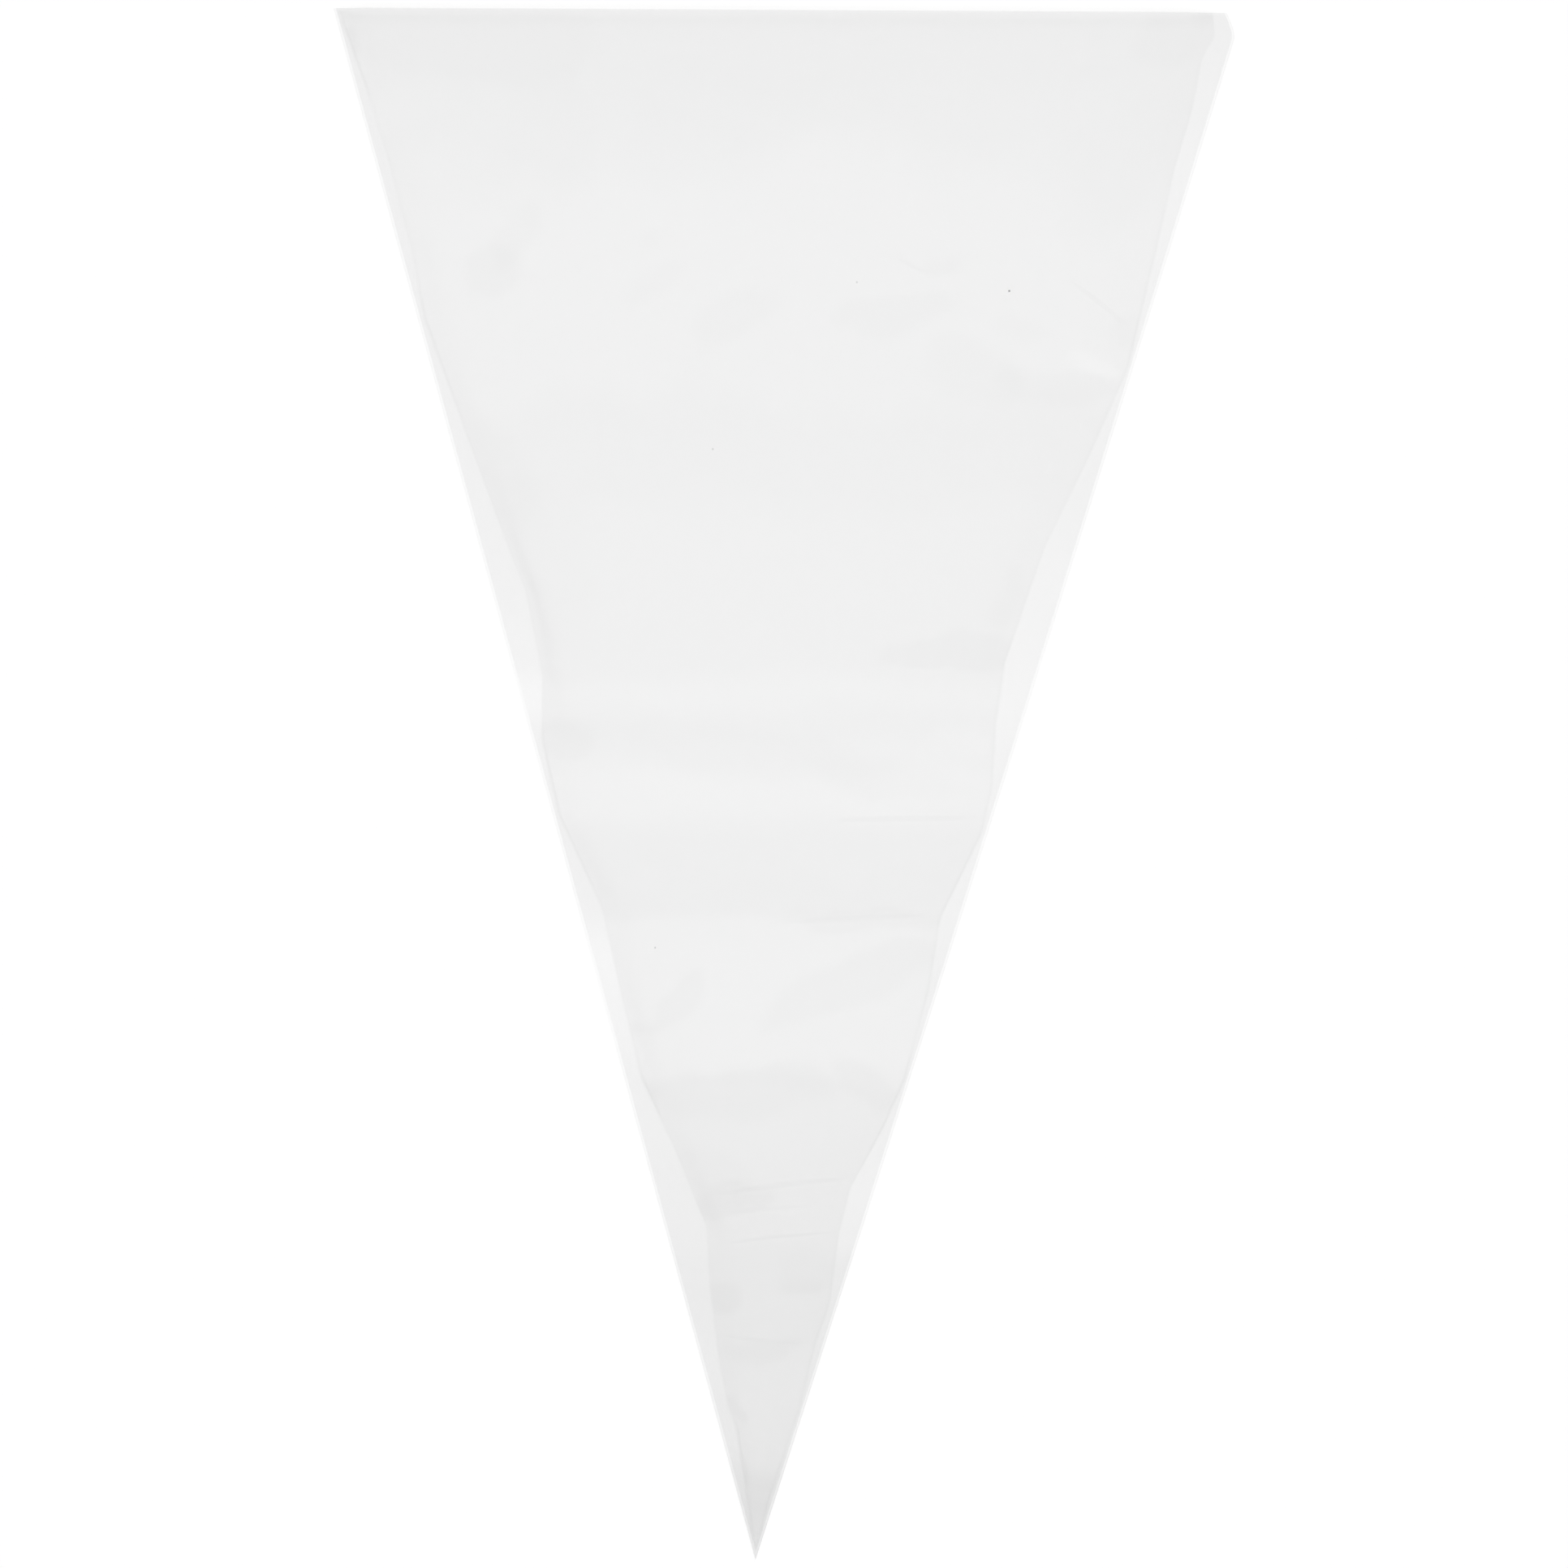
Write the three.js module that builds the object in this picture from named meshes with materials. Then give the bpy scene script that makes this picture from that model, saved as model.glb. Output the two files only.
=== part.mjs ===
// A disposable piping bag lying flat, empty and uncut: two plies of clear film, welded and cut through
// along both slanting sides, open at the mouth and closed to a point at the tip.
// Millimetres, +Z up. The lower ply lies on z = 0 and the mouth faces +Y.
import * as THREE from "three";

// Driving dimensions of the bag
const LENGTH = 460; // left corner of the mouth to the tip, along Y
const MOUTH_WIDTH = 269.4; // across the mouth, between the two side lines
const TIP_INSET = 125.1; // the tip, across from the left corner of the mouth
const FILM = 0.09; // thickness of one ply
const WELD = 0.8; // width of the weld and cut line down each side
const MOUTH_SKEW = 1.4; // the right corner of the mouth lies this much nearer the tip
const SIDE_BOW = 1.0; // the right side bulges by this much at mid-length
const CORNER_CUT_ACROSS = 4.6; // the right corner of the mouth is cut off by this much across
const CORNER_CUT_DOWN = 7.5; // and by this much down the side
const CORNER_CUT_CURVE = 1.3; // 1 cuts the corner straight, more rounds it

// How the film lies: the upper ply clings to the lower one in a band beside each weld,
// then lifts over a shoulder to the loose panel between them.
const CLING_GAP = 0.25; // between the plies at the inner edge of a clinging band
const SHOULDER = 9; // width of the rise from a clinging band to the panel
const LEAST_PANEL_GAP = 0.4; // between the plies, anywhere in the panel
const CROWN = 0.2; // share by which the middle of the panel stands above its sides
const HOLLOW_END = 9; // the plies start to close on each other this far from the tip
const MOST_BAND_SHARE = 0.2; // a band, or a shoulder, takes at most this share of the width inside the welds
const MOST_GAP_SHARE = 0.1; // the gap is at most this share of the width inside the welds

// Each profile pairs a share of the length, counted from the mouth, with a size in millimetres.
const LEFT_BAND = [
  [0, 0.6], [0.05, 2.6], [0.1, 3.4], [0.155, 3.1], [0.2, 1.4], [0.285, 4.8], [0.345, 7.6], [0.375, 9.4],
  [0.43, 7.4], [0.47, 2.2], [0.52, 1.2], [0.58, 6.4], [0.625, 5.2], [0.69, 4.4], [0.735, 8.5],
  [0.785, 11.5], [0.82, 8], [0.87, 4.6], [0.9, 3.6], [0.925, 4.8], [0.955, 2], [1, 0],
];
const RIGHT_BAND = [
  [0, 3.6], [0.03, 7], [0.065, 5.2], [0.1, 5.2], [0.155, 3.2], [0.23, 0.8], [0.29, 4.4], [0.345, 8.8],
  [0.42, 10], [0.46, 7], [0.5, 2.4], [0.53, 1], [0.585, 5.4], [0.63, 2.2], [0.69, 0.8], [0.72, 2.6],
  [0.76, 6.5], [0.79, 5.6], [0.835, 1.8], [0.86, 2.2], [0.9, 0.8], [0.96, 1], [1, 0],
];
const PANEL_GAP = [
  [0, 1.1], [0.1, 0.8], [0.19, 1.2], [0.27, 0.9], [0.37, 2.2], [0.44, 1.7], [0.475, 0.7], [0.505, 1.1],
  [0.55, 1.4], [0.59, 0.8], [0.64, 1.6], [0.7, 0.9], [0.77, 1.6], [0.81, 0.8], [0.88, 0.7], [1, 0.4],
];

// Slack folds that cross the panel: the middle of each as shares of length and width, its turn from
// the X axis in degrees, and its half length, half width and rise.
const FOLDS = [
  { down: 0.16, across: 0.2, turn: 62, halfLength: 34, halfWidth: 15, rise: 0.35 },
  { down: 0.2, across: 0.44, turn: 35, halfLength: 30, halfWidth: 12, rise: 0.3 },
  { down: 0.2, across: 0.66, turn: 6, halfLength: 42, halfWidth: 12, rise: 0.45 },
  { down: 0.24, across: 0.85, turn: -8, halfLength: 48, halfWidth: 13, rise: 0.4 },
  { down: 0.42, across: 0.8, turn: 14, halfLength: 44, halfWidth: 11, rise: 0.4 },
  { down: 0.64, across: 0.64, turn: 30, halfLength: 34, halfWidth: 11, rise: 0.35 },
  { down: 0.645, across: 0.25, turn: 42, halfLength: 22, halfWidth: 9, rise: 0.3 },
];

// How finely the surfaces are divided
const STATIONS = 56; // down the length, below the cut corner
const CORNER_STATIONS = 3; // down the cut corner
const BAND_STEPS = 2; // across a clinging band
const SHOULDER_STEPS = 3; // across a shoulder
const PANEL_STEPS = 11; // across the panel

const { clamp, degToRad, lerp, smoothstep } = THREE.MathUtils;

// The value of a profile at a share of the length, eased from one of its points to the next.
function valueAt(profile, share) {
  const next = profile.findIndex(([at]) => at > share);
  if (next < 1) return profile.at(next)[1];
  const [fromShare, from] = profile[next - 1];
  const [toShare, to] = profile[next];
  return lerp(from, to, smoothstep(share, fromShare, toShare));
}

// X of the left side line at a depth below the left corner of the mouth.
function leftSide(depth) {
  return (TIP_INSET * depth) / LENGTH;
}

// X of the right side line, bowed a little and cut off at the corner of the mouth.
function rightSide(depth) {
  const down = (depth - MOUTH_SKEW) / (LENGTH - MOUTH_SKEW);
  const line = lerp(MOUTH_WIDTH, TIP_INSET, down) + 4 * SIDE_BOW * down * (1 - down);
  const cut = clamp(1 - (depth - MOUTH_SKEW) / CORNER_CUT_DOWN, 0, 1);
  return line - CORNER_CUT_ACROSS * cut ** CORNER_CUT_CURVE;
}

// Depth of a station at a share of the width. Its right end lies lower, as the mouth's does.
function depthAt(station, across) {
  return station + MOUTH_SKEW * across * (1 - station / LENGTH);
}

// The gap between the plies in the open panel.
function panelGap(down, across, width) {
  let gap = valueAt(PANEL_GAP, down) * (1 + CROWN * (1 - (2 * across - 1) ** 2));
  for (const fold of FOLDS) {
    const x = (across - fold.across) * width;
    const y = (fold.down - down) * LENGTH;
    const turn = degToRad(fold.turn);
    const alongFold = (x * Math.cos(turn) + y * Math.sin(turn)) / fold.halfLength;
    const acrossFold = (y * Math.cos(turn) - x * Math.sin(turn)) / fold.halfWidth;
    gap += fold.rise * Math.exp(-(alongFold ** 2) - acrossFold ** 2);
  }
  return Math.max(gap, LEAST_PANEL_GAP);
}

// The columns of one side of a station, from its weld inwards: the distance from the side line, the
// share of the clinging band's gap and the share of the lift to the panel.
function sideColumns(band, shoulder) {
  const columns = [];
  for (let step = 0; step <= BAND_STEPS; step++) {
    const share = step / BAND_STEPS;
    columns.push({ inset: WELD + band * share, cling: share, lift: 0 });
  }
  for (let step = 1; step <= SHOULDER_STEPS; step++) {
    const share = step / SHOULDER_STEPS;
    columns.push({ inset: WELD + band + shoulder * share, cling: 1, lift: smoothstep(share, 0, 1) });
  }
  return columns;
}

// One station: its two ends on the side lines, and its points from weld to weld, left to right,
// each with the gap between the plies there.
function stationAt(station) {
  const down = station / LENGTH;
  const left = leftSide(depthAt(station, 0));
  const right = rightSide(depthAt(station, 1));
  const width = right - left;
  const inside = width - 2 * WELD;
  const mostBand = inside * MOST_BAND_SHARE;
  const mostGap = inside * MOST_GAP_SHARE;
  const shoulder = Math.min(SHOULDER, mostBand);
  const leftColumns = sideColumns(Math.min(valueAt(LEFT_BAND, down), mostBand), shoulder);
  const rightColumns = sideColumns(Math.min(valueAt(RIGHT_BAND, down), mostBand), shoulder);

  const columns = leftColumns.map((column) => ({ ...column, x: left + column.inset }));
  const panelStart = columns.at(-1).x;
  const panelEnd = right - rightColumns.at(-1).inset;
  for (let step = 1; step < PANEL_STEPS; step++) {
    columns.push({ x: lerp(panelStart, panelEnd, step / PANEL_STEPS), cling: 1, lift: 1 });
  }
  columns.push(...rightColumns.reverse().map((column) => ({ ...column, x: right - column.inset })));

  const place = (x) => ({ x, y: -depthAt(station, (x - left) / width) });
  const points = columns.map(({ x, cling, lift }) => {
    const clinging = Math.min(CLING_GAP, mostGap) * cling;
    const panel = Math.min(panelGap(down, (x - left) / width, width), mostGap);
    return { ...place(x), gap: lerp(clinging, panel, lift) };
  });
  return { left: place(left), right: place(right), points };
}

// The depths of the stations, from the mouth to where the hollow starts to close.
function stationDepths() {
  const depths = [];
  for (let index = 0; index < CORNER_STATIONS; index++) {
    depths.push((CORNER_CUT_DOWN * index) / CORNER_STATIONS);
  }
  for (let index = 0; index <= STATIONS; index++) {
    depths.push(lerp(CORNER_CUT_DOWN, LENGTH - HOLLOW_END, index / STATIONS));
  }
  return depths;
}

// Collects the vertices and faces of one closed body. Rows run left to right.
class Shell {
  constructor() {
    this.vertices = [];
    this.faces = [];
  }

  vertex({ x, y }, z) {
    this.vertices.push(x, y, z);
    return this.vertices.length / 3 - 1;
  }

  quad(a, b, c, d) {
    this.faces.push(a, b, c, a, c, d);
  }

  // Faces between two rows of equal length, facing up where the second lies nearer the mouth.
  strip(first, second) {
    for (let index = 1; index < first.length; index++) {
      this.quad(first[index - 1], first[index], second[index], second[index - 1]);
    }
  }

  // Faces from a row to one point on the tip's side of it, facing up.
  fanUp(row, apex) {
    for (let index = 1; index < row.length; index++) {
      this.faces.push(row[index - 1], apex, row[index]);
    }
  }

  // The same, facing down.
  fanDown(row, apex) {
    for (let index = 1; index < row.length; index++) {
      this.faces.push(row[index - 1], row[index], apex);
    }
  }

  geometry() {
    const geometry = new THREE.BufferGeometry();
    geometry.setAttribute("position", new THREE.Float32BufferAttribute(this.vertices, 3));
    geometry.setIndex(this.faces);
    geometry.computeVertexNormals();
    return geometry;
  }
}

// The vertex rows of one station: the outside of both plies and the hollow between them.
// The hollow's two rows share the points at the inner edges of the welds.
function addStation(shell, { left, right, points }) {
  const top = [
    shell.vertex(left, 2 * FILM),
    ...points.map((point) => shell.vertex(point, 2 * FILM + point.gap)),
    shell.vertex(right, 2 * FILM),
  ];
  const bottom = [shell.vertex(left, 0), shell.vertex(right, 0)];
  const hollowTop = points.map((point) => shell.vertex(point, FILM + point.gap));
  const hollowBottom = [hollowTop[0], hollowTop.at(-1)];
  return { top, bottom, hollowTop, hollowBottom };
}

// Both plies between two stations, and the cut edges at the sides.
function addPlies(shell, near, far) {
  shell.strip(far.top, near.top);
  shell.strip(near.bottom, far.bottom);
  shell.strip(near.hollowTop, far.hollowTop);
  shell.strip(far.hollowBottom, near.hollowBottom);
  shell.quad(near.top[0], near.bottom[0], far.bottom[0], far.top[0]);
  shell.quad(far.top.at(-1), far.bottom[1], near.bottom[1], near.top.at(-1));
}

// The cut edges of both plies at the mouth, with the ends of the welds.
function addMouthEdge(shell, { top, bottom, hollowTop, hollowBottom }) {
  shell.strip(top.slice(1, -1), hollowTop);
  shell.quad(top[0], top[1], hollowTop[0], bottom[0]);
  shell.quad(top.at(-2), top.at(-1), bottom[1], hollowTop.at(-1));
  shell.strip(hollowBottom, bottom);
}

// The closed tip: the hollow ends where the two welds meet, and the outside at the tip itself.
function addTip(shell, station, last) {
  const tip = { x: TIP_INSET, y: -LENGTH };
  const weldsMeet = (2 * WELD) / (station.right.x - station.left.x);
  const hollowTip = {
    x: lerp(tip.x, (station.left.x + station.right.x) / 2, weldsMeet),
    y: lerp(tip.y, (station.left.y + station.right.y) / 2, weldsMeet),
  };
  const tipTop = shell.vertex(tip, 2 * FILM);
  const tipBottom = shell.vertex(tip, 0);
  const hollowEnd = shell.vertex(hollowTip, FILM);
  shell.fanUp(last.top, tipTop);
  shell.fanDown(last.bottom, tipBottom);
  shell.fanDown(last.hollowTop, hollowEnd);
  shell.fanUp(last.hollowBottom, hollowEnd);
  shell.quad(last.top[0], last.bottom[0], tipBottom, tipTop);
  shell.quad(tipTop, tipBottom, last.bottom[1], last.top.at(-1));
}

function makeBag() {
  const shell = new Shell();
  const stations = stationDepths().map(stationAt);
  const rows = stations.map((station) => addStation(shell, station));
  addMouthEdge(shell, rows[0]);
  for (let index = 1; index < rows.length; index++) {
    addPlies(shell, rows[index - 1], rows[index]);
  }
  addTip(shell, stations.at(-1), rows.at(-1));

  const film = new THREE.MeshStandardMaterial({
    color: 0xf0f1f1,
    roughness: 0.2,
    metalness: 0,
    transparent: true,
    opacity: 0.3,
  });
  const bag = new THREE.Mesh(shell.geometry(), film);
  bag.name = "piping_bag";
  return bag;
}

// The frame's origin is under the middle of the bag's box.
const bag = makeBag();
const box = new THREE.Box3().setFromObject(bag);
const middle = box.getCenter(new THREE.Vector3());
bag.position.set(-middle.x, -middle.y, -box.min.z);

const pipingBag = new THREE.Group();
pipingBag.add(bag);

export default pipingBag;
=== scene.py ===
"""A disposable piping bag of clear film, lying flat and empty on a white studio floor, seen from above.

The bag is one closed mesh: a lower ply on the floor and an upper ply that is one with it at the weld
down each side and at the tip, and stands a little clear of it in between. Sizes are in millimetres.
A place on the bag is (x, y) in the row frame: X across, Y towards the mouth, Z up.
"""

import math

import bpy
import numpy as np
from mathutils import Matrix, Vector, noise


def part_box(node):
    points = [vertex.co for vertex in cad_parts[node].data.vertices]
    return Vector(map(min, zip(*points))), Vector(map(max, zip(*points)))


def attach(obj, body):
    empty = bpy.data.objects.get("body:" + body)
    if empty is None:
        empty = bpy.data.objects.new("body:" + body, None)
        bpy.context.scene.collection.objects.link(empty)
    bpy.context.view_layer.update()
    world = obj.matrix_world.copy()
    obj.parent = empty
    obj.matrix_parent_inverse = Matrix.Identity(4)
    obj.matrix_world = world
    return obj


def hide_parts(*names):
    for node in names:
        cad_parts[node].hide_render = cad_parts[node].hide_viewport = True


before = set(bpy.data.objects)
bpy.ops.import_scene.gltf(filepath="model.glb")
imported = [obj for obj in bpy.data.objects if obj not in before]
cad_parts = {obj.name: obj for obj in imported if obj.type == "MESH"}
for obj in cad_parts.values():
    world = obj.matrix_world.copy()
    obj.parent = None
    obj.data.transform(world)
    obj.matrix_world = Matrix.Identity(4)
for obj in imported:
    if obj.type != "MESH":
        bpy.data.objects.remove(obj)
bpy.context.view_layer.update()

MM = 0.001

# The bag's outline, as in its solid
LOW, HIGH = (Vector(corner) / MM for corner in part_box("piping_bag"))
LENGTH = HIGH.y - LOW.y
MOUTH_WIDTH = 269.4
TIP_INSET = 125.1
FILM = 0.09
WELD = 0.8
MOUTH_SKEW = 1.4
SIDE_BOW = 1.0
CORNER_CUT_ACROSS = 4.6
CORNER_CUT_DOWN = 7.5
CORNER_CUT_CURVE = 1.3

# How the film lies, as in the solid: profiles pair a share of the length with a size
CLING_GAP = 0.25
SHOULDER = 9
LEAST_PANEL_GAP = 0.4
CROWN = 0.2
HOLLOW_END = 9
MOST_BAND_SHARE = 0.2
MOST_GAP_SHARE = 0.1
LEFT_BAND = (
    (0, 0.6), (0.05, 2.6), (0.1, 3.4), (0.155, 3.1), (0.2, 1.4), (0.285, 4.8), (0.345, 7.6), (0.375, 9.4),
    (0.43, 7.4), (0.47, 2.2), (0.52, 1.2), (0.58, 6.4), (0.625, 5.2), (0.69, 4.4), (0.735, 8.5),
    (0.785, 11.5), (0.82, 8), (0.87, 4.6), (0.9, 3.6), (0.925, 4.8), (0.955, 2), (1, 0),
)
RIGHT_BAND = (
    (0, 3.6), (0.03, 7), (0.065, 5.2), (0.1, 5.2), (0.155, 3.2), (0.23, 0.8), (0.29, 4.4), (0.345, 8.8),
    (0.42, 10), (0.46, 7), (0.5, 2.4), (0.53, 1), (0.585, 5.4), (0.63, 2.2), (0.69, 0.8), (0.72, 2.6),
    (0.76, 6.5), (0.79, 5.6), (0.835, 1.8), (0.86, 2.2), (0.9, 0.8), (0.96, 1), (1, 0),
)
PANEL_GAP = (
    (0, 1.1), (0.1, 0.8), (0.19, 1.2), (0.27, 0.9), (0.37, 2.2), (0.44, 1.7), (0.475, 0.7), (0.505, 1.1),
    (0.55, 1.4), (0.59, 0.8), (0.64, 1.6), (0.7, 0.9), (0.77, 1.6), (0.81, 0.8), (0.88, 0.7), (1, 0.4),
)
FOLDS = (
    {"down": 0.16, "across": 0.2, "turn": 62, "half_length": 34, "half_width": 15, "rise": 0.35},
    {"down": 0.2, "across": 0.44, "turn": 35, "half_length": 30, "half_width": 12, "rise": 0.3},
    {"down": 0.2, "across": 0.66, "turn": 6, "half_length": 42, "half_width": 12, "rise": 0.45},
    {"down": 0.24, "across": 0.85, "turn": -8, "half_length": 48, "half_width": 13, "rise": 0.4},
    {"down": 0.42, "across": 0.8, "turn": 14, "half_length": 44, "half_width": 11, "rise": 0.4},
    {"down": 0.64, "across": 0.64, "turn": 30, "half_length": 34, "half_width": 11, "rise": 0.35},
    {"down": 0.645, "across": 0.25, "turn": 42, "half_length": 22, "half_width": 9, "rise": 0.3},
)

# The share of light that the bag takes away, seen from above, at shares of the length: in the loose
# panel, where the plies lie apart. It is less in the bands beside the welds, where they cling.
PANEL_LOSS = (
    (0, 0.146), (0.06, 0.145), (0.095, 0.138), (0.13, 0.122), (0.25, 0.121), (0.275, 0.134), (0.315, 0.134),
    (0.335, 0.126), (0.425, 0.125), (0.44, 0.11), (0.455, 0.119), (0.487, 0.119), (0.497, 0.11),
    (0.515, 0.112), (0.535, 0.137), (0.583, 0.139), (0.588, 0.12), (0.675, 0.12), (0.7, 0.15),
    (0.75, 0.163), (0.79, 0.17), (0.81, 0.19), (0.85, 0.196), (0.9, 0.188), (0.935, 0.204),
    (0.95, 0.256), (0.967, 0.268), (0.98, 0.25), (1, 0.25),
)
TIP_LOSS = PANEL_LOSS[-1][1]

# Light comes in under the upper ply at the open mouth. To make up for it the panel takes away this much
# more at the rim, which fades over this reach.
RIM_LOSS = 0.04
RIM_REACH = 6

# The share of light that the clinging bands take away, at shares of the length. The left band's dips near
# 0.44 and 0.62 of the length are painted highlights.
LEFT_BAND_LOSS_AND_HIGHLIGHTS = (
    (0, 0.135), (0.1, 0.125), (0.2, 0.12), (0.36, 0.115), (0.42, 0.1), (0.443, 0.065), (0.47, 0.105),
    (0.57, 0.12), (0.615, 0.075), (0.65, 0.09), (0.7, 0.125), (0.77, 0.142), (0.83, 0.17), (0.87, 0.16),
    (0.92, 0.18), (0.955, 0.24), (1, 0.27),
)
RIGHT_BAND_LOSS = (
    (0, 0.132), (0.06, 0.118), (0.1, 0.106), (0.22, 0.108), (0.3, 0.118), (0.38, 0.1), (0.45, 0.09),
    (0.5, 0.11), (0.57, 0.11), (0.64, 0.125), (0.7, 0.135), (0.765, 0.12), (0.79, 0.135), (0.815, 0.18),
    (0.92, 0.19), (0.955, 0.24), (1, 0.27),
)

# The weld is a low bead, with a painted highlight along its middle: pairs of a share of its width, from
# the outside, and how much less it takes away there than the band beside it.
BEAD_RISE = 0.06
BEAD_PAINTED_HIGHLIGHT = ((0, 0), (0.3, 0.02), (0.6, 0.06), (0.85, 0.02), (1, 0))

# Painted shade where a clinging band ends and the upper ply lifts: a thin dark line, whose loss varies
# along the length, and a shade of this loss that fades inwards over this reach
LEFT_SHADE_LINE_LOSS = (
    (0, 0.02), (0.02, 0.045), (0.045, 0.045), (0.06, 0.015), (0.17, 0.015), (0.2, 0.045), (0.235, 0.04),
    (0.26, 0.02), (0.45, 0.015), (0.5, 0.05), (0.55, 0.035), (0.6, 0.01), (0.67, 0.015), (0.69, 0.035),
    (0.73, 0.012), (0.8, 0), (0.88, 0.012), (0.93, 0.034), (1, 0.02),
)
RIGHT_SHADE_LINE_LOSS = (
    (0, 0.008), (0.1, 0.012), (0.15, 0.02), (0.21, 0.03), (0.25, 0.02), (0.33, 0.008), (0.46, 0.02),
    (0.52, 0.02), (0.56, 0.035), (0.6, 0.02), (0.64, 0.03), (0.66, 0.015), (0.69, 0.04), (0.725, 0.04),
    (0.76, 0.01), (0.82, 0.02), (0.86, 0.025), (0.92, 0.02), (0.95, 0.03), (1, 0.02),
)
BAND_EDGE_SOFTNESS = 0.9
BAND_LINE_HALF_WIDTH = 0.9
BAND_SHADE_LOSS = 0.012
BAND_SHADE_REACH = 7

# Patches where the plies touch or the film is less clear, and two of painted light, a shade and a
# highlight: the middle, the turn of the long axis from X in degrees, the half length and half width, and
# the loss that it adds
PATCHES = (
    {"at": (-127, 217), "turn": 75, "size": (7, 3), "loss": 0.028},
    {"at": (-92, 222), "turn": -8, "size": (36, 16), "loss": 0.01},
    {"at": (116, 222), "turn": 25, "size": (13, 9), "loss": 0.013},
    {"at": (-86.5, 151.5), "turn": 35, "size": (9.5, 7), "loss": 0.018},
    {"at": (-79.5, 162), "turn": 62, "size": (10, 4), "loss": 0.014},
    {"at": (-41, 161), "turn": 0, "size": (4, 3.6), "loss": 0.008},
    {"at": (-37.4, 148.5), "turn": 32, "size": (11, 3.6), "loss": 0.01},
    {"at": (-14.4, 138.8), "turn": 34, "size": (14, 6.2), "loss": 0.012},
    {"at": (32, 138.8), "turn": 4, "size": (19, 6.4), "loss": 0.016},
    {"at": (45.8, 153.7), "turn": -8, "size": (6.8, 2.8), "loss": 0.014},
    {"at": (56.2, 121), "turn": -20, "size": (14, 8.5), "loss": 0.013},
    {"at": (81.4, 117.6), "turn": -3, "size": (21, 4.8), "loss": 0.016},
    {"at": (71, 135.5), "turn": -5, "size": (8, 3.4), "loss": 0.01},
    # Painted highlight: a bright streak
    {"at": (91.8, 125.2), "turn": -18, "size": (9, 3), "loss": -0.018},
    {"at": (101, 135), "turn": -35, "size": (7, 4), "loss": 0.012},
    {"at": (-92, 100), "turn": -60, "size": (32, 10), "loss": 0.009},
    {"at": (-70, 72), "turn": -62, "size": (22, 9), "loss": 0.005},
    # Painted shade beside the inner edge of the right band
    {"at": (64, 55), "turn": 60, "size": (9, 4), "loss": 0.012},
    {"at": (50, 39.4), "turn": 3, "size": (22, 5.2), "loss": 0.022},
    {"at": (-64.6, 14.1), "turn": 0, "size": (9, 6.2), "loss": 0.022},
    {"at": (-16, 9.6), "turn": -9, "size": (46, 8), "loss": 0.01},
    {"at": (30, 1), "turn": -8, "size": (24, 5), "loss": 0.009},
    {"at": (54, 13.6), "turn": 0, "size": (7.5, 6), "loss": -0.008},
    {"at": (26, -40), "turn": 2, "size": (31, 2.8), "loss": 0.016},
    {"at": (-31, -63.8), "turn": 45, "size": (10, 3.8), "loss": 0.018},
    {"at": (-42, -71.9), "turn": 15, "size": (5, 2.2), "loss": 0.016},
    {"at": (20.5, -59), "turn": 24, "size": (29, 7.5), "loss": 0.018},
    {"at": (-14, -90.5), "turn": 0, "size": (29, 7), "loss": 0.014},
    {"at": (-40.4, -91), "turn": -64, "size": (8, 2.6), "loss": 0.03},
    {"at": (23.5, -88), "turn": -35, "size": (9.5, 5), "loss": 0.018},
    {"at": (-22, -114), "turn": -20, "size": (12, 6.5), "loss": 0.01},
    {"at": (-16.3, -123.8), "turn": 2, "size": (10.5, 4.6), "loss": 0.028},
    {"at": (8.6, -143.9), "turn": -20, "size": (9, 7), "loss": 0.01},
    {"at": (7, -148.5), "turn": 0, "size": (6.5, 2.6), "loss": 0.014},
    {"at": (-20, -150.3), "turn": 0, "size": (9, 5), "loss": 0.026},
    {"at": (-7, -166), "turn": -2, "size": (14, 2.8), "loss": 0.017},
    {"at": (-14.4, -184.6), "turn": -65, "size": (5.5, 2), "loss": 0.026},
    {"at": (-13.6, -199), "turn": -78, "size": (9, 1.6), "loss": 0.03},
)

# Creases: the two ends, how far the middle lies to the mouth's side of the line between them,
# the half width, the rise of the film, and the loss of the painted shade that it adds along the crease
CREASES = (
    {"ends": ((-129, 212), (-116, 170)), "bow": 0, "half_width": 1, "rise": 0, "loss": 0.03},
    {"ends": ((29, 158), (45, 150)), "bow": 0, "half_width": 0.9, "rise": 0.05, "loss": 0.016},
    {"ends": ((80, 152), (105, 132)), "bow": 1, "half_width": 1, "rise": 0.06, "loss": 0.02},
    {"ends": ((7, -10.9), (63, -10)), "bow": 0.2, "half_width": 1.3, "rise": 0.1, "loss": 0.024},
    {"ends": ((-6, -41), (48, -38.6)), "bow": 0, "half_width": 1.3, "rise": 0.1, "loss": 0.02},
    {"ends": ((-46, -93), (36, -95)), "bow": 7, "half_width": 3.4, "rise": 0.08, "loss": 0.012},
    {"ends": ((-24, -122.2), (24, -116.6)), "bow": 0.8, "half_width": 1.2, "rise": 0.14, "loss": 0.034},
    {"ends": ((-20, -127.6), (12, -124.6)), "bow": 0.4, "half_width": 0.9, "rise": 0.05, "loss": 0.016},
    {"ends": ((-21, -136.8), (18.5, -132.8)), "bow": 0.8, "half_width": 0.8, "rise": 0.08, "loss": 0.026},
    {"ends": ((-22, -162.6), (9, -165.6)), "bow": -0.8, "half_width": 1, "rise": 0.1, "loss": 0.018},
)

# Specks of dust on the film, whose rims fade over this share of the half width to either side
SPECKS = (
    {"at": (66.7, 146.0), "half_width": 0.32, "loss": 1},
    {"at": (21.6, 148.6), "half_width": 0.25, "loss": 0.25},
    {"at": (-21.1, 99.2), "half_width": 0.25, "loss": 0.25},
    {"at": (-38.2, -48.5), "half_width": 0.25, "loss": 0.35},
    {"at": (20.9, -130.9), "half_width": 0.3, "loss": 0.35},
)
SPECK_SOFTNESS = 0.2

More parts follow.
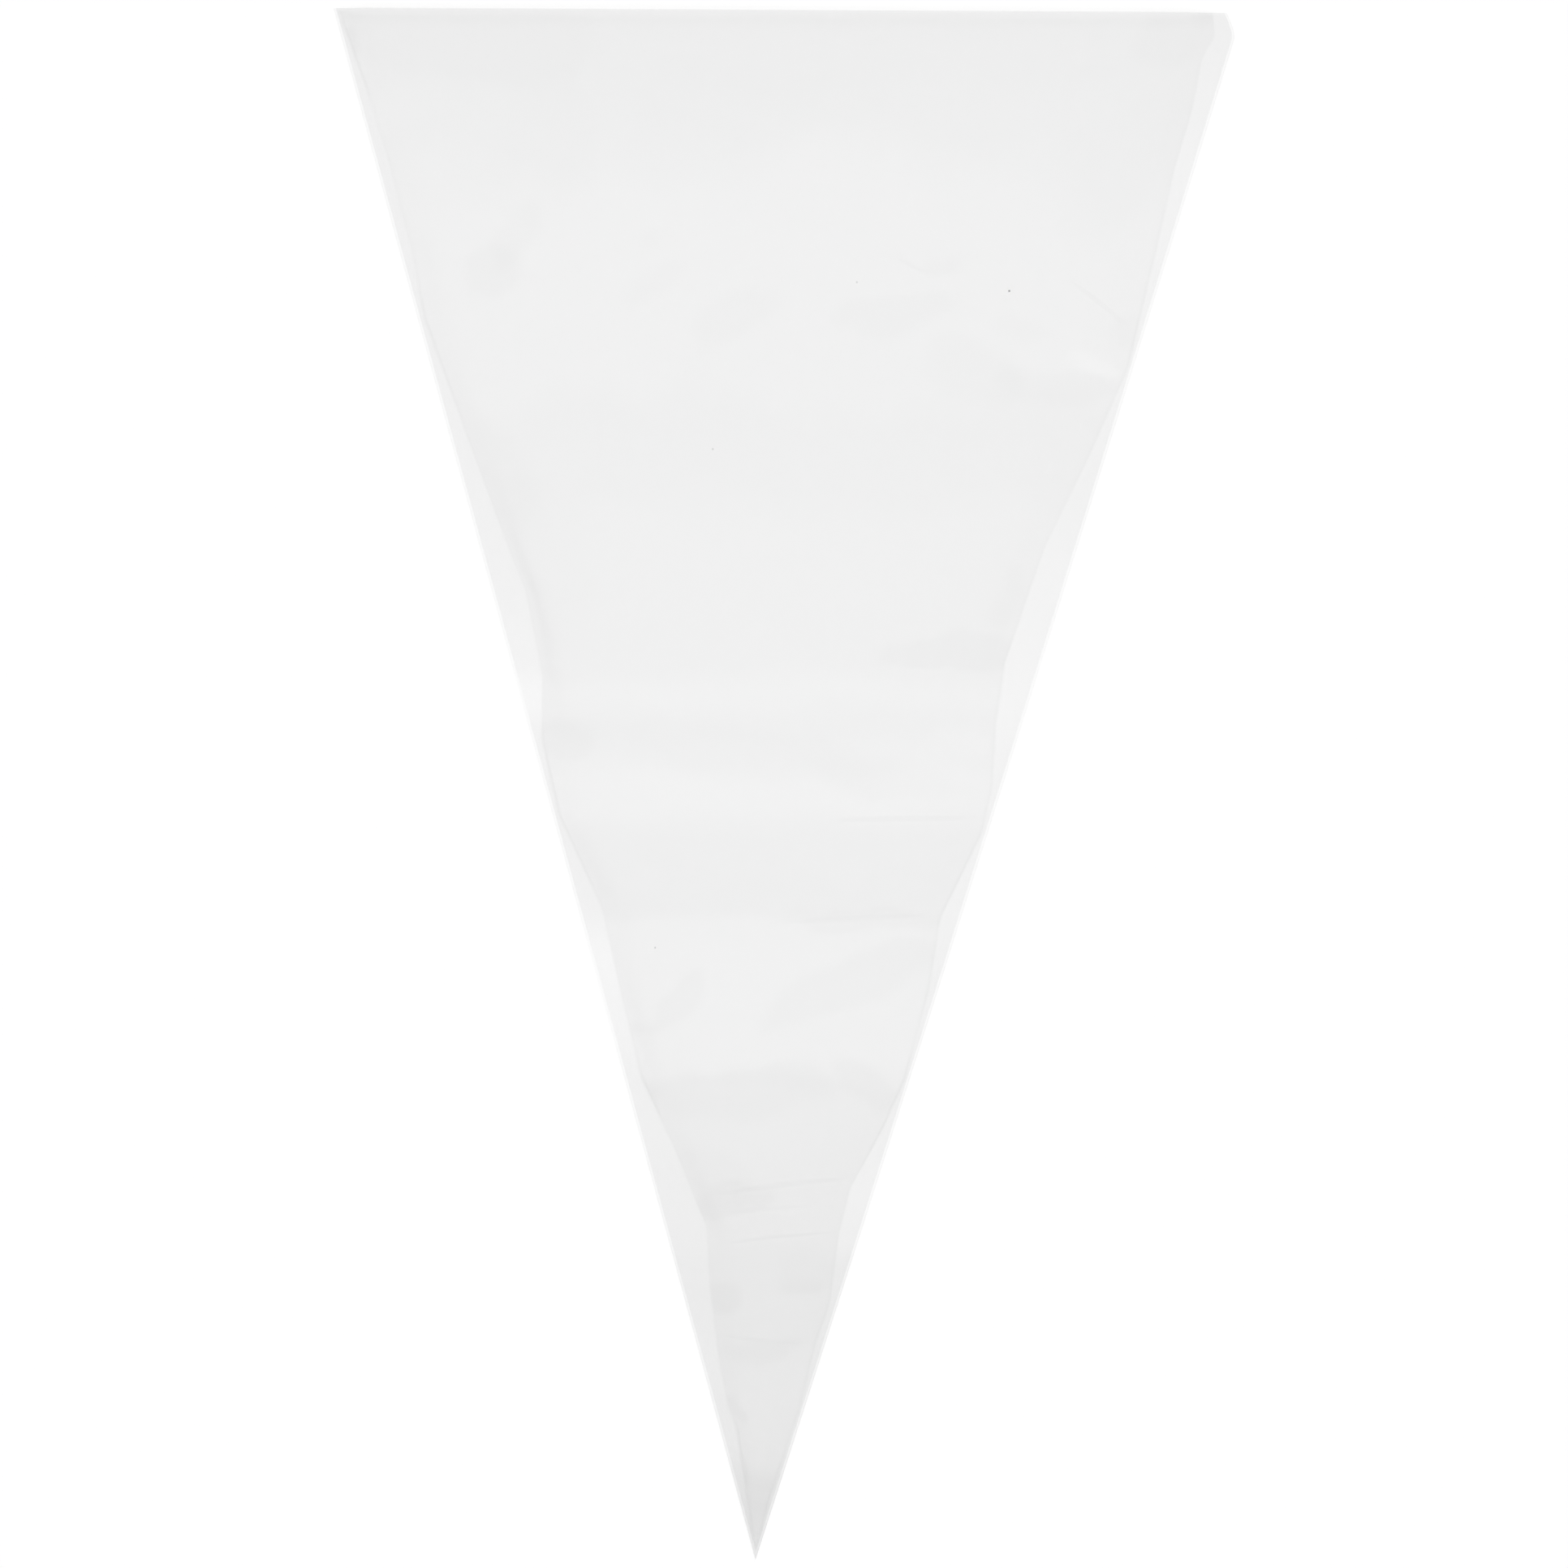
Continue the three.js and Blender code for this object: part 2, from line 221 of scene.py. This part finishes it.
# The edges of patches wander by up to about this much, in waves of this length, and fade over this share
# of a patch's size to either side. The edges of the bands across the panel wander by a share of it.
WANDER = 4
WANDER_WAVE = 24
WANDER_LAYERS = (0.5, 7.5)
PATCH_EDGE = 0.18
BAND_WANDER_SHARE = 0.5

# From the mouth to this share of the length, the bands' edges wander by up to about this much more, in
# longer waves. It fades over the last share of that length.
CLOUD_WANDER = 26
CLOUD_WAVE = 62
CLOUD_LAYER = 21.5
CLOUD_END = 0.38
CLOUD_FADE = 0.2

# Relief of the upper ply that the solid doesn't have: creases, which fade over a share of their length
# at each end, and ripples of this rise and length
CREASE_RELIEF_HALF_WIDTH = 2.2
CREASE_END_SHARE = 1 / 6
RIPPLE_RISE = 0.16
RIPPLE_WAVE = 13
RIPPLE_LAYER = 14.5

# How many finer waves each noise adds up
NOISE_OCTAVES = 3

# How finely the film is divided
ROW_STEP = 1.2
CORNER_ROWS = 8
WELD_STEPS = 4
BAND_STEPS = 3
SHOULDER_STEPS = 6
PANEL_STEPS = 116
HOLLOW_TOP_STRIDE = 4
LOWER_PLY_STRIDE = 16

# From this angle on, in degrees, an edge is shaded sharp
SHARP_ANGLE = 40

# What each vertex of the seen face tells the film's material: how far it is from the side line and
# from the inner edge of the clinging band, and the losses of that band, of the painted shade line at its
# edge and of the panel
NOTES = ("from_side", "from_band", "band_loss", "shade_line_loss", "panel_loss")

# Clear film: the loss through the mirroring faces alone, how much darker and milkier the upper face is
# for each share of loss beyond it, what a face mirrors when seen straight on and how blurred, and the
# power by which it mirrors more when seen from the side
CLEAR_LOSS = 0.07
TINT_PER_LOSS = 0.64
MILK_PER_LOSS = 0.15
FACE_MIRROR = 0.018
FACE_ROUGHNESS = 0.14
EDGE_ON_POWER = 5

# Light that is mirrored between the plies crosses many of the bag's faces
MOST_FACES_CROSSED = 24

WHITE = (1, 1, 1, 1)
MILK_COLOUR = (0.9, 0.905, 0.905, 1)

# Light: what reaches a level surface adds up to about 1, so that a colour renders as it is written
WORLD_LIGHT = 0.42
KEY_LIGHT = 0.36
FILL_LIGHT = 0.22

# The floor's own glow makes it white for the camera. Its side is in metres, and it lies this far below
# the bag in millimetres, so that the two don't touch.
FLOOR_COLOUR = (0.7, 0.7, 0.7, 1)
FLOOR_GLOW = 0.305
FLOOR_SIDE = 80
FLOOR_DROP = 0.02

# The photograph is square and this many millimetres wide at the bag. Its lens was long, as the outline
# shows no perspective.
FRAME_SIDE = 463.8
SENSOR = 36
LENS = 85


def lerp(start, end, share):
    return start + (end - start) * share


def smooth(share):
    share = np.clip(share, 0, 1)
    return share * share * (3 - 2 * share)


def value_at(profile, share):
    """A profile's value at a share, eased from one of its points to the next."""
    for (start, from_value), (end, to_value) in zip(profile, profile[1:]):
        if share <= end:
            return lerp(from_value, to_value, smooth((share - start) / (end - start)))
    return profile[-1][1]


def left_side(depth):
    """X of the left side line, from the left corner of the mouth."""
    return TIP_INSET * depth / LENGTH


def right_side(depth):
    """X of the right side line, bowed a little and cut off at the corner of the mouth."""
    down = (depth - MOUTH_SKEW) / (LENGTH - MOUTH_SKEW)
    line = lerp(MOUTH_WIDTH, TIP_INSET, down) + 4 * SIDE_BOW * down * (1 - down)
    cut = np.clip(1 - (depth - MOUTH_SKEW) / CORNER_CUT_DOWN, 0, 1)
    return line - CORNER_CUT_ACROSS * cut ** CORNER_CUT_CURVE


def depth_at(station, across):
    """Depth of a row at a share of the width. Its right end lies lower, as the mouth's does."""
    return station + MOUTH_SKEW * across * (1 - station / LENGTH)


def panel_gap(down, across, width):
    """The gap between the plies in the loose panel."""
    gap = value_at(PANEL_GAP, down) * (1 + CROWN * (1 - (2 * across - 1) ** 2))
    for fold in FOLDS:
        x = (across - fold["across"]) * width
        y = (fold["down"] - down) * LENGTH
        turn = math.radians(fold["turn"])
        along_fold = (x * math.cos(turn) + y * math.sin(turn)) / fold["half_length"]
        across_fold = (y * math.cos(turn) - x * math.sin(turn)) / fold["half_width"]
        gap += fold["rise"] * np.exp(-(along_fold ** 2) - across_fold ** 2)
    return np.maximum(gap, LEAST_PANEL_GAP)


def patch_strength(patch, x, y):
    """1 in a patch, falling to 0 across its edge."""
    turn = math.radians(patch["turn"])
    half_length, half_width = patch["size"]
    dx, dy = x - patch["at"][0], y - patch["at"][1]
    along = (dx * math.cos(turn) + dy * math.sin(turn)) / half_length
    across = (dy * math.cos(turn) - dx * math.sin(turn)) / half_width
    return smooth((1 - np.hypot(along, across)) / (2 * PATCH_EDGE) + 0.5)


def slow_noise(x, y, wave, layer):
    """A smooth noise of about -1 to 1 at each place, in waves of about this length. Each layer has a
    pattern of its own."""
    places = zip(x.ravel() / wave, y.ravel() / wave)
    values = [noise.turbulence((*place, layer), NOISE_OCTAVES, False) for place in places]
    return np.array(values).reshape(x.shape)


def wandering(x, y):
    """The places, shifted a little, so that the edges of patches don't run smoothly."""
    shift_x, shift_y = (slow_noise(x, y, WANDER_WAVE, layer) for layer in WANDER_LAYERS)
    return x + WANDER * shift_x, y + WANDER * shift_y


def panel_loss(x, y):
    """The loss in the loose panel, whose first row is at the mouth: bands across it, the rim and
    patches, among them a painted shade and a painted highlight. The creases' painted shade is in the
    material."""
    wandering_x, wandering_y = wandering(x, y)
    down = (HIGH.y - lerp(y, wandering_y, BAND_WANDER_SHARE)) / LENGTH
    cloud = slow_noise(x, y, CLOUD_WAVE, CLOUD_LAYER) * smooth((CLOUD_END - down) / CLOUD_FADE)
    loss = np.interp(down + CLOUD_WANDER / LENGTH * cloud, *zip(*PANEL_LOSS))
    loss += RIM_LOSS * smooth(1 - (y[0] - y) / RIM_REACH)
    for patch in PATCHES:
        loss += patch["loss"] * patch_strength(patch, wandering_x, wandering_y)
    return loss


def crease_strength(crease, x, y):
    """1 on the line of a crease, falling off across it and towards its ends."""
    (x0, y0), (x1, y1) = crease["ends"]
    length = math.hypot(x1 - x0, y1 - y0)
    unit_x, unit_y = (x1 - x0) / length, (y1 - y0) / length
    along = ((x - x0) * unit_x + (y - y0) * unit_y) / length
    across = (y - y0) * unit_x - (x - x0) * unit_y
    across = across - 4 * crease["bow"] * along * (1 - along)
    ends = smooth(along / CREASE_END_SHARE) * smooth((1 - along) / CREASE_END_SHARE)
    return ends * np.exp(-((across / CREASE_RELIEF_HALF_WIDTH) ** 2))


def side_columns(band, shoulder):
    """From the weld inwards: the distance from the side line, the share of the clinging band's gap,
    and the share of the lift to the panel."""
    band_share = np.linspace(0, 1, BAND_STEPS + 1)
    lift_share = np.linspace(0, 1, SHOULDER_STEPS + 1)[1:]
    inset = np.concatenate([WELD + band * band_share, WELD + band + shoulder * lift_share])
    cling = np.concatenate([band_share, np.ones(SHOULDER_STEPS)])
    lift = np.concatenate([np.zeros(BAND_STEPS + 1), smooth(lift_share)])
    return inset, cling, lift


def band_width(profile, down, inside):
    """The width of a clinging band, which takes at most a share of what is inside the welds."""
    return min(np.interp(down, *zip(*profile)), inside * MOST_BAND_SHARE)


def weld_columns():
    """Across a weld, from the side line inwards: the distance from that line, and the bead's rise."""
    share = np.linspace(0, 1, WELD_STEPS + 1)[:-1]
    return WELD * share, BEAD_RISE * np.sin(math.pi * share)


def inner_columns(down, left, right, left_band, right_band):
    """Between the welds: X, the gap between the plies, and the share of the lift to the panel."""
    width = right - left
    inside = width - 2 * WELD
    most_gap = inside * MOST_GAP_SHARE
    shoulder = min(SHOULDER, inside * MOST_BAND_SHARE)
    left_inset, left_cling, left_lift = side_columns(left_band, shoulder)
    right_inset, right_cling, right_lift = side_columns(right_band, shoulder)

    panel = np.linspace(left + left_inset[-1], right - right_inset[-1], PANEL_STEPS + 1)[1:-1]
    flat = np.ones(len(panel))
    x = np.concatenate([left + left_inset, panel, (right - right_inset)[::-1]])
    cling = np.concatenate([left_cling, flat, right_cling[::-1]])
    lift = np.concatenate([left_lift, flat, right_lift[::-1]])
    clinging = min(CLING_GAP, most_gap) * cling
    loose = np.minimum(panel_gap(down, (x - left) / width, width), most_gap)
    return x, lerp(clinging, loose, lift), lift


def row_at(station):
    """One row of the film from side line to side line: place, gap between the plies, the rise of the
    weld's bead, and what the film's material needs."""
    down = station / LENGTH
    left, right = left_side(depth_at(station, 0)), right_side(depth_at(station, 1))
    width = right - left
    left_band = band_width(LEFT_BAND, down, width - 2 * WELD)
    right_band = band_width(RIGHT_BAND, down, width - 2 * WELD)
    x, gap, lift = inner_columns(down, left, right, left_band, right_band)
    inset, bead = weld_columns()
    nothing = np.zeros(WELD_STEPS)
    x = np.concatenate([left + inset, x, (right - inset)[::-1]])
    on_left = x - left < right - x
    return {
        "x": x + LOW.x,
        "y": HIGH.y - depth_at(station, (x - left) / width),
        "gap": np.concatenate([nothing, gap, nothing]),
        "lift": np.concatenate([nothing, lift, nothing]),
        "bead": np.concatenate([bead, np.zeros(len(lift)), bead[::-1]]),
        "from_side": np.where(on_left, x - left, right - x),
        "from_band": np.where(on_left, x - left - left_band, right - x - right_band) - WELD,
        "band_loss": np.where(on_left, value_at(LEFT_BAND_LOSS_AND_HIGHLIGHTS, down), value_at(RIGHT_BAND_LOSS, down)),
        "shade_line_loss": np.where(on_left, value_at(LEFT_SHADE_LINE_LOSS, down), value_at(RIGHT_SHADE_LINE_LOSS, down)),
    }


def film_rows():
    """The film from the mouth to where the hollow closes, as arrays of rows by columns."""
    corner = np.linspace(0, CORNER_CUT_DOWN, CORNER_ROWS + 1)[:-1]
    end = LENGTH - HOLLOW_END
    count = round((end - CORNER_CUT_DOWN) / ROW_STEP)
    depths = np.concatenate([corner, np.linspace(CORNER_CUT_DOWN, end, count + 1)])
    rows = [row_at(depth) for depth in depths]
    film = {key: np.array([row[key] for row in rows]) for key in rows[0]}
    for crease in CREASES:
        film["gap"] += crease["rise"] * crease_strength(crease, film["x"], film["y"]) * film["lift"]
    ripple = slow_noise(film["x"], film["y"], RIPPLE_WAVE, RIPPLE_LAYER)
    film["gap"] = np.maximum(film["gap"] + RIPPLE_RISE * ripple * film["lift"], film["gap"] / 2)
    film["panel_loss"] = panel_loss(film["x"], film["y"])
    return film


class Shell:
    """Collects the vertices and faces of one closed mesh. Rows of vertices run left to right."""

    def __init__(self):
        self.places = []
        self.notes = []
        self.faces = []
        self.seen = []

    def vertex(self, x, y, z, *notes):
        self.places.append((x * MM, y * MM, z * MM))
        self.notes.append(notes or (0,) * len(NOTES))
        return len(self.places) - 1

    def row(self, *values):
        return [self.vertex(*vertex) for vertex in zip(*values)]

    def face(self, *corners, seen=False):
        """A face. The seen ones are the outside of the upper ply."""
        self.faces.append(corners)
        self.seen.append(seen)

    def strip(self, first, second, seen=False):
        """Faces between two rows, facing up where the second lies nearer the mouth."""
        for index in range(1, len(first)):
            self.face(first[index - 1], first[index], second[index], second[index - 1], seen=seen)

    def fan_up(self, row, apex, seen=False):
        """Faces from a row to one point on the tip's side of it, facing up."""
        for before, after in zip(row, row[1:]):
            self.face(before, apex, after, seen=seen)

    def fan_down(self, row, apex):
        for before, after in zip(row, row[1:]):
            self.face(before, after, apex)


def add_row(shell, film, index):
    """The vertices of one row: the outside of both plies and the hollow between them, whose two rows
    share the points at the inner edges of the welds."""
    x, y, gap, bead = (film[key][index] for key in ("x", "y", "gap", "bead"))
    notes = [film[key][index] for key in NOTES]
    inside = np.arange(len(x))[WELD_STEPS:-WELD_STEPS]
    edges = BAND_STEPS + SHOULDER_STEPS
    upper = np.unique([*inside[:edges], *inside[edges:-edges:HOLLOW_TOP_STRIDE], *inside[-edges:]])
    lower = np.unique([*inside[1:-1:LOWER_PLY_STRIDE], inside[-2]])
    level = np.zeros(len(lower))

    top = shell.row(x, y, 2 * FILM + gap + bead, *notes)
    hollow_top = shell.row(x[upper], y[upper], FILM + gap[upper])
    hollow_bottom = shell.row(x[lower], y[lower], level + FILM)
    bottom = shell.row(x[lower], y[lower], level)
    bottom_left = shell.vertex(x[0], y[0], 0)
    bottom_right = shell.vertex(x[-1], y[-1], 0)
    return {
        "top": top,
        "bottom": [bottom_left, *bottom, bottom_right],
        "hollow_top": hollow_top,
        "hollow_bottom": [hollow_top[0], *hollow_bottom, hollow_top[-1]],
        "hollow_columns": upper,
    }


def add_mouth_edge(shell, mouth):
    """The cut edges of both plies at the mouth, with the ends of the welds."""
    top, bottom = mouth["top"], mouth["bottom"]
    hollow_top, hollow_bottom = mouth["hollow_top"], mouth["hollow_bottom"]
    columns = mouth["hollow_columns"]
    for index in range(1, len(columns)):
        above = top[columns[index - 1] : columns[index] + 1]
        shell.face(*above, hollow_top[index], hollow_top[index - 1])
    shell.face(*top[: WELD_STEPS + 1], hollow_top[0], bottom[0])
    shell.face(*top[-WELD_STEPS - 1 :], bottom[-1], hollow_top[-1])
    shell.strip(hollow_bottom, bottom)


def add_tip(shell, last, left, right):
    """The closed tip: the hollow ends where the two welds meet, the outside at the tip itself."""
    tip = Vector((LOW.x + TIP_INSET, LOW.y))
    welds_meet = tip.lerp((left + right) / 2, 2 * WELD / (right - left).length)
    hollow_end = shell.vertex(*welds_meet, FILM)
    tip_top = shell.vertex(*tip, 2 * FILM, 0, 0, TIP_LOSS, 0, TIP_LOSS)
    tip_bottom = shell.vertex(*tip, 0)
    shell.fan_up(last["top"], tip_top, seen=True)
    shell.fan_down(last["bottom"], tip_bottom)
    shell.fan_down(last["hollow_top"], hollow_end)
    shell.fan_up(last["hollow_bottom"], hollow_end)
    shell.face(last["top"][0], last["bottom"][0], tip_bottom, tip_top)
    shell.face(tip_top, tip_bottom, last["bottom"][-1], last["top"][-1])


def bag_shell():
    """The vertices and faces of the whole bag."""
    film = film_rows()
    shell = Shell()
    rows = [add_row(shell, film, index) for index in range(len(film["x"]))]
    add_mouth_edge(shell, rows[0])
    for near, far in zip(rows, rows[1:]):
        shell.strip(far["top"], near["top"], seen=True)
        shell.strip(near["bottom"], far["bottom"])
        shell.strip(near["hollow_top"], far["hollow_top"])
        shell.strip(far["hollow_bottom"], near["hollow_bottom"])
        shell.face(near["top"][0], near["bottom"][0], far["bottom"][0], far["top"][0])
        shell.face(far["top"][-1], far["bottom"][-1], near["bottom"][-1], near["top"][-1])
    last_left, last_right = (Vector((film["x"][-1][end], film["y"][-1][end])) for end in (0, -1))
    add_tip(shell, rows[-1], last_left, last_right)
    return shell


def make_bag(clear, seen):
    """The bag, with the clear material all over and the seen one outside on the upper ply."""
    shell = bag_shell()
    mesh = bpy.data.meshes.new("bag_film")
    mesh.from_pydata(shell.places, [], shell.faces)
    for name, values in zip(NOTES, zip(*shell.notes)):
        mesh.attributes.new(name, "FLOAT", "POINT").data.foreach_set("value", values)
    mesh.materials.append(clear)
    mesh.materials.append(seen)
    mesh.polygons.foreach_set("material_index", shell.seen)
    mesh.shade_smooth()
    mesh.set_sharp_from_angle(angle=math.radians(SHARP_ANGLE))
    bag = bpy.data.objects.new("bag_film", mesh)
    bpy.context.collection.objects.link(bag)
    return bag


class Nodes:
    """A short way to add and join the nodes of one material or world."""

    def __init__(self, owner):
        owner.use_nodes = True
        self.tree = owner.node_tree
        self.tree.nodes.clear()

    def add(self, kind, *values, **settings):
        """A node. The values go to its inputs in their order, as a link or as a plain value."""
        node = self.tree.nodes.new("ShaderNode" + kind)
        for name, value in settings.items():
            setattr(node, name, value)
        for value, socket in zip(values, node.inputs):
            self.feed(value, socket)
        return node

    def feed(self, value, socket):
        if isinstance(value, bpy.types.NodeSocket):
            self.tree.links.new(value, socket)
        elif value is not None:
            socket.default_value = value

    def maths(self, operation, *values):
        return self.add("Math", *values, operation=operation).outputs["Value"]

    def between(self, value, low, high):
        """0 at low and 1 at high, eased between them."""
        node = self.add("MapRange", value, low, high, 0, 1, interpolation_type="SMOOTHSTEP")
        return node.outputs["Result"]

    def ramp(self, value, profile):
        """A profile's value at a share."""
        node = self.add("ValToRGB", value)
        ramp = node.color_ramp
        ramp.interpolation = "EASE"
        while len(ramp.elements) < len(profile):
            ramp.elements.new(1)
        for element, (share, grey) in zip(ramp.elements, profile):
            element.position = share
            element.color = (grey, grey, grey, 1)
        return node.outputs["Color"]

    def mix(self, share, first, second):
        return self.add("MixShader", share, first, second).outputs["Shader"]

    def attribute(self, name):
        return self.add("Attribute", attribute_name=name).outputs["Fac"]

    def show(self, surface, kind="OutputMaterial"):
        self.add(kind, surface)


def add_speck(nodes, place, speck, total):
    """Adds to the total loss in a dot."""
    middle = (*speck["at"], 0)
    edge = speck["half_width"] * (1 + SPECK_SOFTNESS)
    core = speck["half_width"] * (1 - SPECK_SOFTNESS)
    distance = nodes.add("VectorMath", place, middle, operation="DISTANCE").outputs["Value"]
    strength = nodes.between(distance, edge, core)
    return nodes.maths("MULTIPLY_ADD", strength, speck["loss"], total)


def add_crease(nodes, place, crease, total):
    """Adds painted shade to the total loss on a long thin ellipse, bent to the crease's bow."""
    (x0, y0), (x1, y1) = crease["ends"]
    middle = ((x0 + x1) / 2, (y0 + y1) / 2, 0)
    turn = math.atan2(y1 - y0, x1 - x0)
    half_sizes = (math.hypot(x1 - x0, y1 - y0) / 2, crease["half_width"], 1)
    own = nodes.add("Mapping", place, middle, (0, 0, turn), half_sizes, vector_type="TEXTURE")
    axes = nodes.add("SeparateXYZ", own.outputs["Vector"])
    along, across = axes.outputs["X"], axes.outputs["Y"]
    along_squared = nodes.maths("MULTIPLY", along, along)
    bow = crease["bow"] / crease["half_width"]
    across = nodes.maths("MULTIPLY_ADD", along_squared, bow, nodes.maths("SUBTRACT", across, bow))
    across_squared = nodes.maths("MULTIPLY", across, across)
    strength = nodes.between(nodes.maths("ADD", along_squared, across_squared), 1, 0)
    return nodes.maths("MULTIPLY_ADD", strength, crease["loss"], total)


def marks(nodes, total):
    """Adds the creases' painted shade and the dust to the total loss."""
    metres = nodes.add("TexCoord").outputs["Object"]
    flat = nodes.add("VectorMath", metres, (1 / MM, 1 / MM, 0), operation="MULTIPLY").outputs["Vector"]
    for crease in CREASES:
        total = add_crease(nodes, flat, crease, total)
    for speck in SPECKS:
        total = add_speck(nodes, flat, speck, total)
    return total


def film_loss(nodes):
    """The loss all over the upper ply: weld, clinging band and loose panel, with painted shade at the
    band's edge and a painted highlight along the weld.
    """
    from_side = nodes.attribute("from_side")
    from_band = nodes.attribute("from_band")
    band = nodes.attribute("band_loss")

    panel = marks(nodes, nodes.attribute("panel_loss"))
    # Painted shade beside the band's edge, fading inwards
    shade = nodes.maths("POWER", math.e, nodes.maths("DIVIDE", from_band, -BAND_SHADE_REACH))
    panel = nodes.maths("MULTIPLY_ADD", shade, BAND_SHADE_LOSS, panel)
    in_panel = nodes.between(from_band, -BAND_EDGE_SOFTNESS / 2, BAND_EDGE_SOFTNESS / 2)
    inner = nodes.add("Mix", in_panel)
    nodes.feed(band, inner.inputs["A"])
    nodes.feed(panel, inner.inputs["B"])

    # A painted dark line along the band's edge, where the upper ply lifts
    off_line = nodes.maths("ABSOLUTE", from_band)
    line = nodes.between(off_line, BAND_LINE_HALF_WIDTH, 0)
    shade_line_loss = nodes.attribute("shade_line_loss")
    inner = nodes.maths("MULTIPLY_ADD", line, shade_line_loss, inner.outputs["Result"])
    # A painted highlight along the middle of the weld's bead
    weld = nodes.ramp(nodes.maths("DIVIDE", from_side, WELD), BEAD_PAINTED_HIGHLIGHT)
    return nodes.maths("SUBTRACT", inner, weld)


def clear_faces(nodes, tint):
    """What every face of the film does: it lets light through, and mirrors more of it the more it is
    seen from the side."""
    clear = nodes.add("BsdfTransparent", tint).outputs["BSDF"]
    gloss = nodes.add("BsdfAnisotropic", WHITE, FACE_ROUGHNESS).outputs["BSDF"]
    facing = nodes.add("LayerWeight").outputs["Facing"]
    edge_on = nodes.maths("POWER", facing, EDGE_ON_POWER)
    mirror = nodes.maths("MULTIPLY_ADD", edge_on, 1 - FACE_MIRROR, FACE_MIRROR)
    return nodes.mix(mirror, clear, gloss)


def clear_film():
    material = bpy.data.materials.new("film_clear")
    nodes = Nodes(material)
    nodes.show(clear_faces(nodes, WHITE))
    return material


def seen_film():
    """The outside of the upper ply, where the film's greyness, patches, creases and dust are, with painted
    shade on the creases and band edges and painted highlights on the weld, the left band and one streak.
    """
    material = bpy.data.materials.new("film_seen")
    nodes = Nodes(material)
    beyond_clear = nodes.maths("MAXIMUM", nodes.maths("SUBTRACT", film_loss(nodes), CLEAR_LOSS), 0)
    tint = nodes.maths("MULTIPLY_ADD", beyond_clear, -TINT_PER_LOSS, 1)
    milkiness = nodes.maths("MULTIPLY", beyond_clear, MILK_PER_LOSS)
    milk = nodes.add("BsdfDiffuse", MILK_COLOUR).outputs["BSDF"]
    nodes.show(nodes.mix(milkiness, clear_faces(nodes, tint), milk))
    return material


def seen_by(nodes, *rays):
    """1 for the kinds of ray named, 0 for the others."""
    path = nodes.add("LightPath").outputs
    share = 0
    for ray in rays:
        share = nodes.maths("MAXIMUM", share, path[f"Is {ray} Ray"])
    return share


def make_world():
    world = bpy.data.worlds.new("studio")
    bpy.context.scene.world = world
    nodes = Nodes(world)
    lighting = nodes.add("Background", WHITE, WORLD_LIGHT).outputs[0]
    backdrop = nodes.add("Background", WHITE, 1).outputs[0]
    share = seen_by(nodes, "Camera", "Transmission")
    nodes.show(nodes.mix(share, lighting, backdrop), "OutputWorld")


def floor_material():
    material = bpy.data.materials.new("floor")
    nodes = Nodes(material)
    paint = nodes.add("BsdfDiffuse", FLOOR_COLOUR).outputs[0]
    share = nodes.maths("MULTIPLY", seen_by(nodes, "Camera", "Glossy", "Transmission"), FLOOR_GLOW)
    glow = nodes.add("Emission", WHITE, share).outputs[0]
    nodes.show(nodes.add("AddShader", paint, glow).outputs[0])
    return material


def make_floor():
    half = FLOOR_SIDE / 2
    height = -FLOOR_DROP * MM
    corners = [(-half, -half, height), (half, -half, height), (half, half, height), (-half, half, height)]
    mesh = bpy.data.meshes.new("floor")
    mesh.from_pydata(corners, [], [(0, 1, 2, 3)])
    mesh.materials.append(floor_material())
    floor = bpy.data.objects.new("floor", mesh)
    bpy.context.collection.objects.link(floor)


def make_lamp(name, light, azimuth, elevation, spread):
    """A soft lamp far away, at an azimuth from +X towards +Y. light is what it gives a level surface,
    as a share of full white."""
    lamp = bpy.data.lights.new(name, "SUN")
    lamp.angle = math.radians(spread)
    lamp.energy = light * math.pi / math.sin(math.radians(elevation))
    holder = bpy.data.objects.new(name, lamp)
    holder.rotation_euler = (math.radians(90 - elevation), 0, math.radians(azimuth + 90))
    bpy.context.collection.objects.link(holder)


def make_camera():
    camera = bpy.data.cameras.new("camera")
    camera.sensor_width = SENSOR
    camera.lens = LENS
    holder = bpy.data.objects.new("camera", camera)
    centre = (LOW + HIGH) / 2
    distance = FRAME_SIDE * LENS / SENSOR
    holder.location = (centre.x * MM, centre.y * MM, (distance + HIGH.z) * MM)
    bpy.context.collection.objects.link(holder)
    bpy.context.scene.camera = holder


scene = bpy.context.scene
scene.view_settings.view_transform = "Standard"
scene.cycles.transparent_max_bounces = MOST_FACES_CROSSED

make_world()
make_floor()
make_lamp("key", KEY_LIGHT, azimuth=60, elevation=34, spread=24)
make_lamp("fill", FILL_LIGHT, azimuth=240, elevation=38, spread=20)
make_camera()

bag = make_bag(clear_film(), seen_film())
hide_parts("piping_bag")
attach(bag, "root")
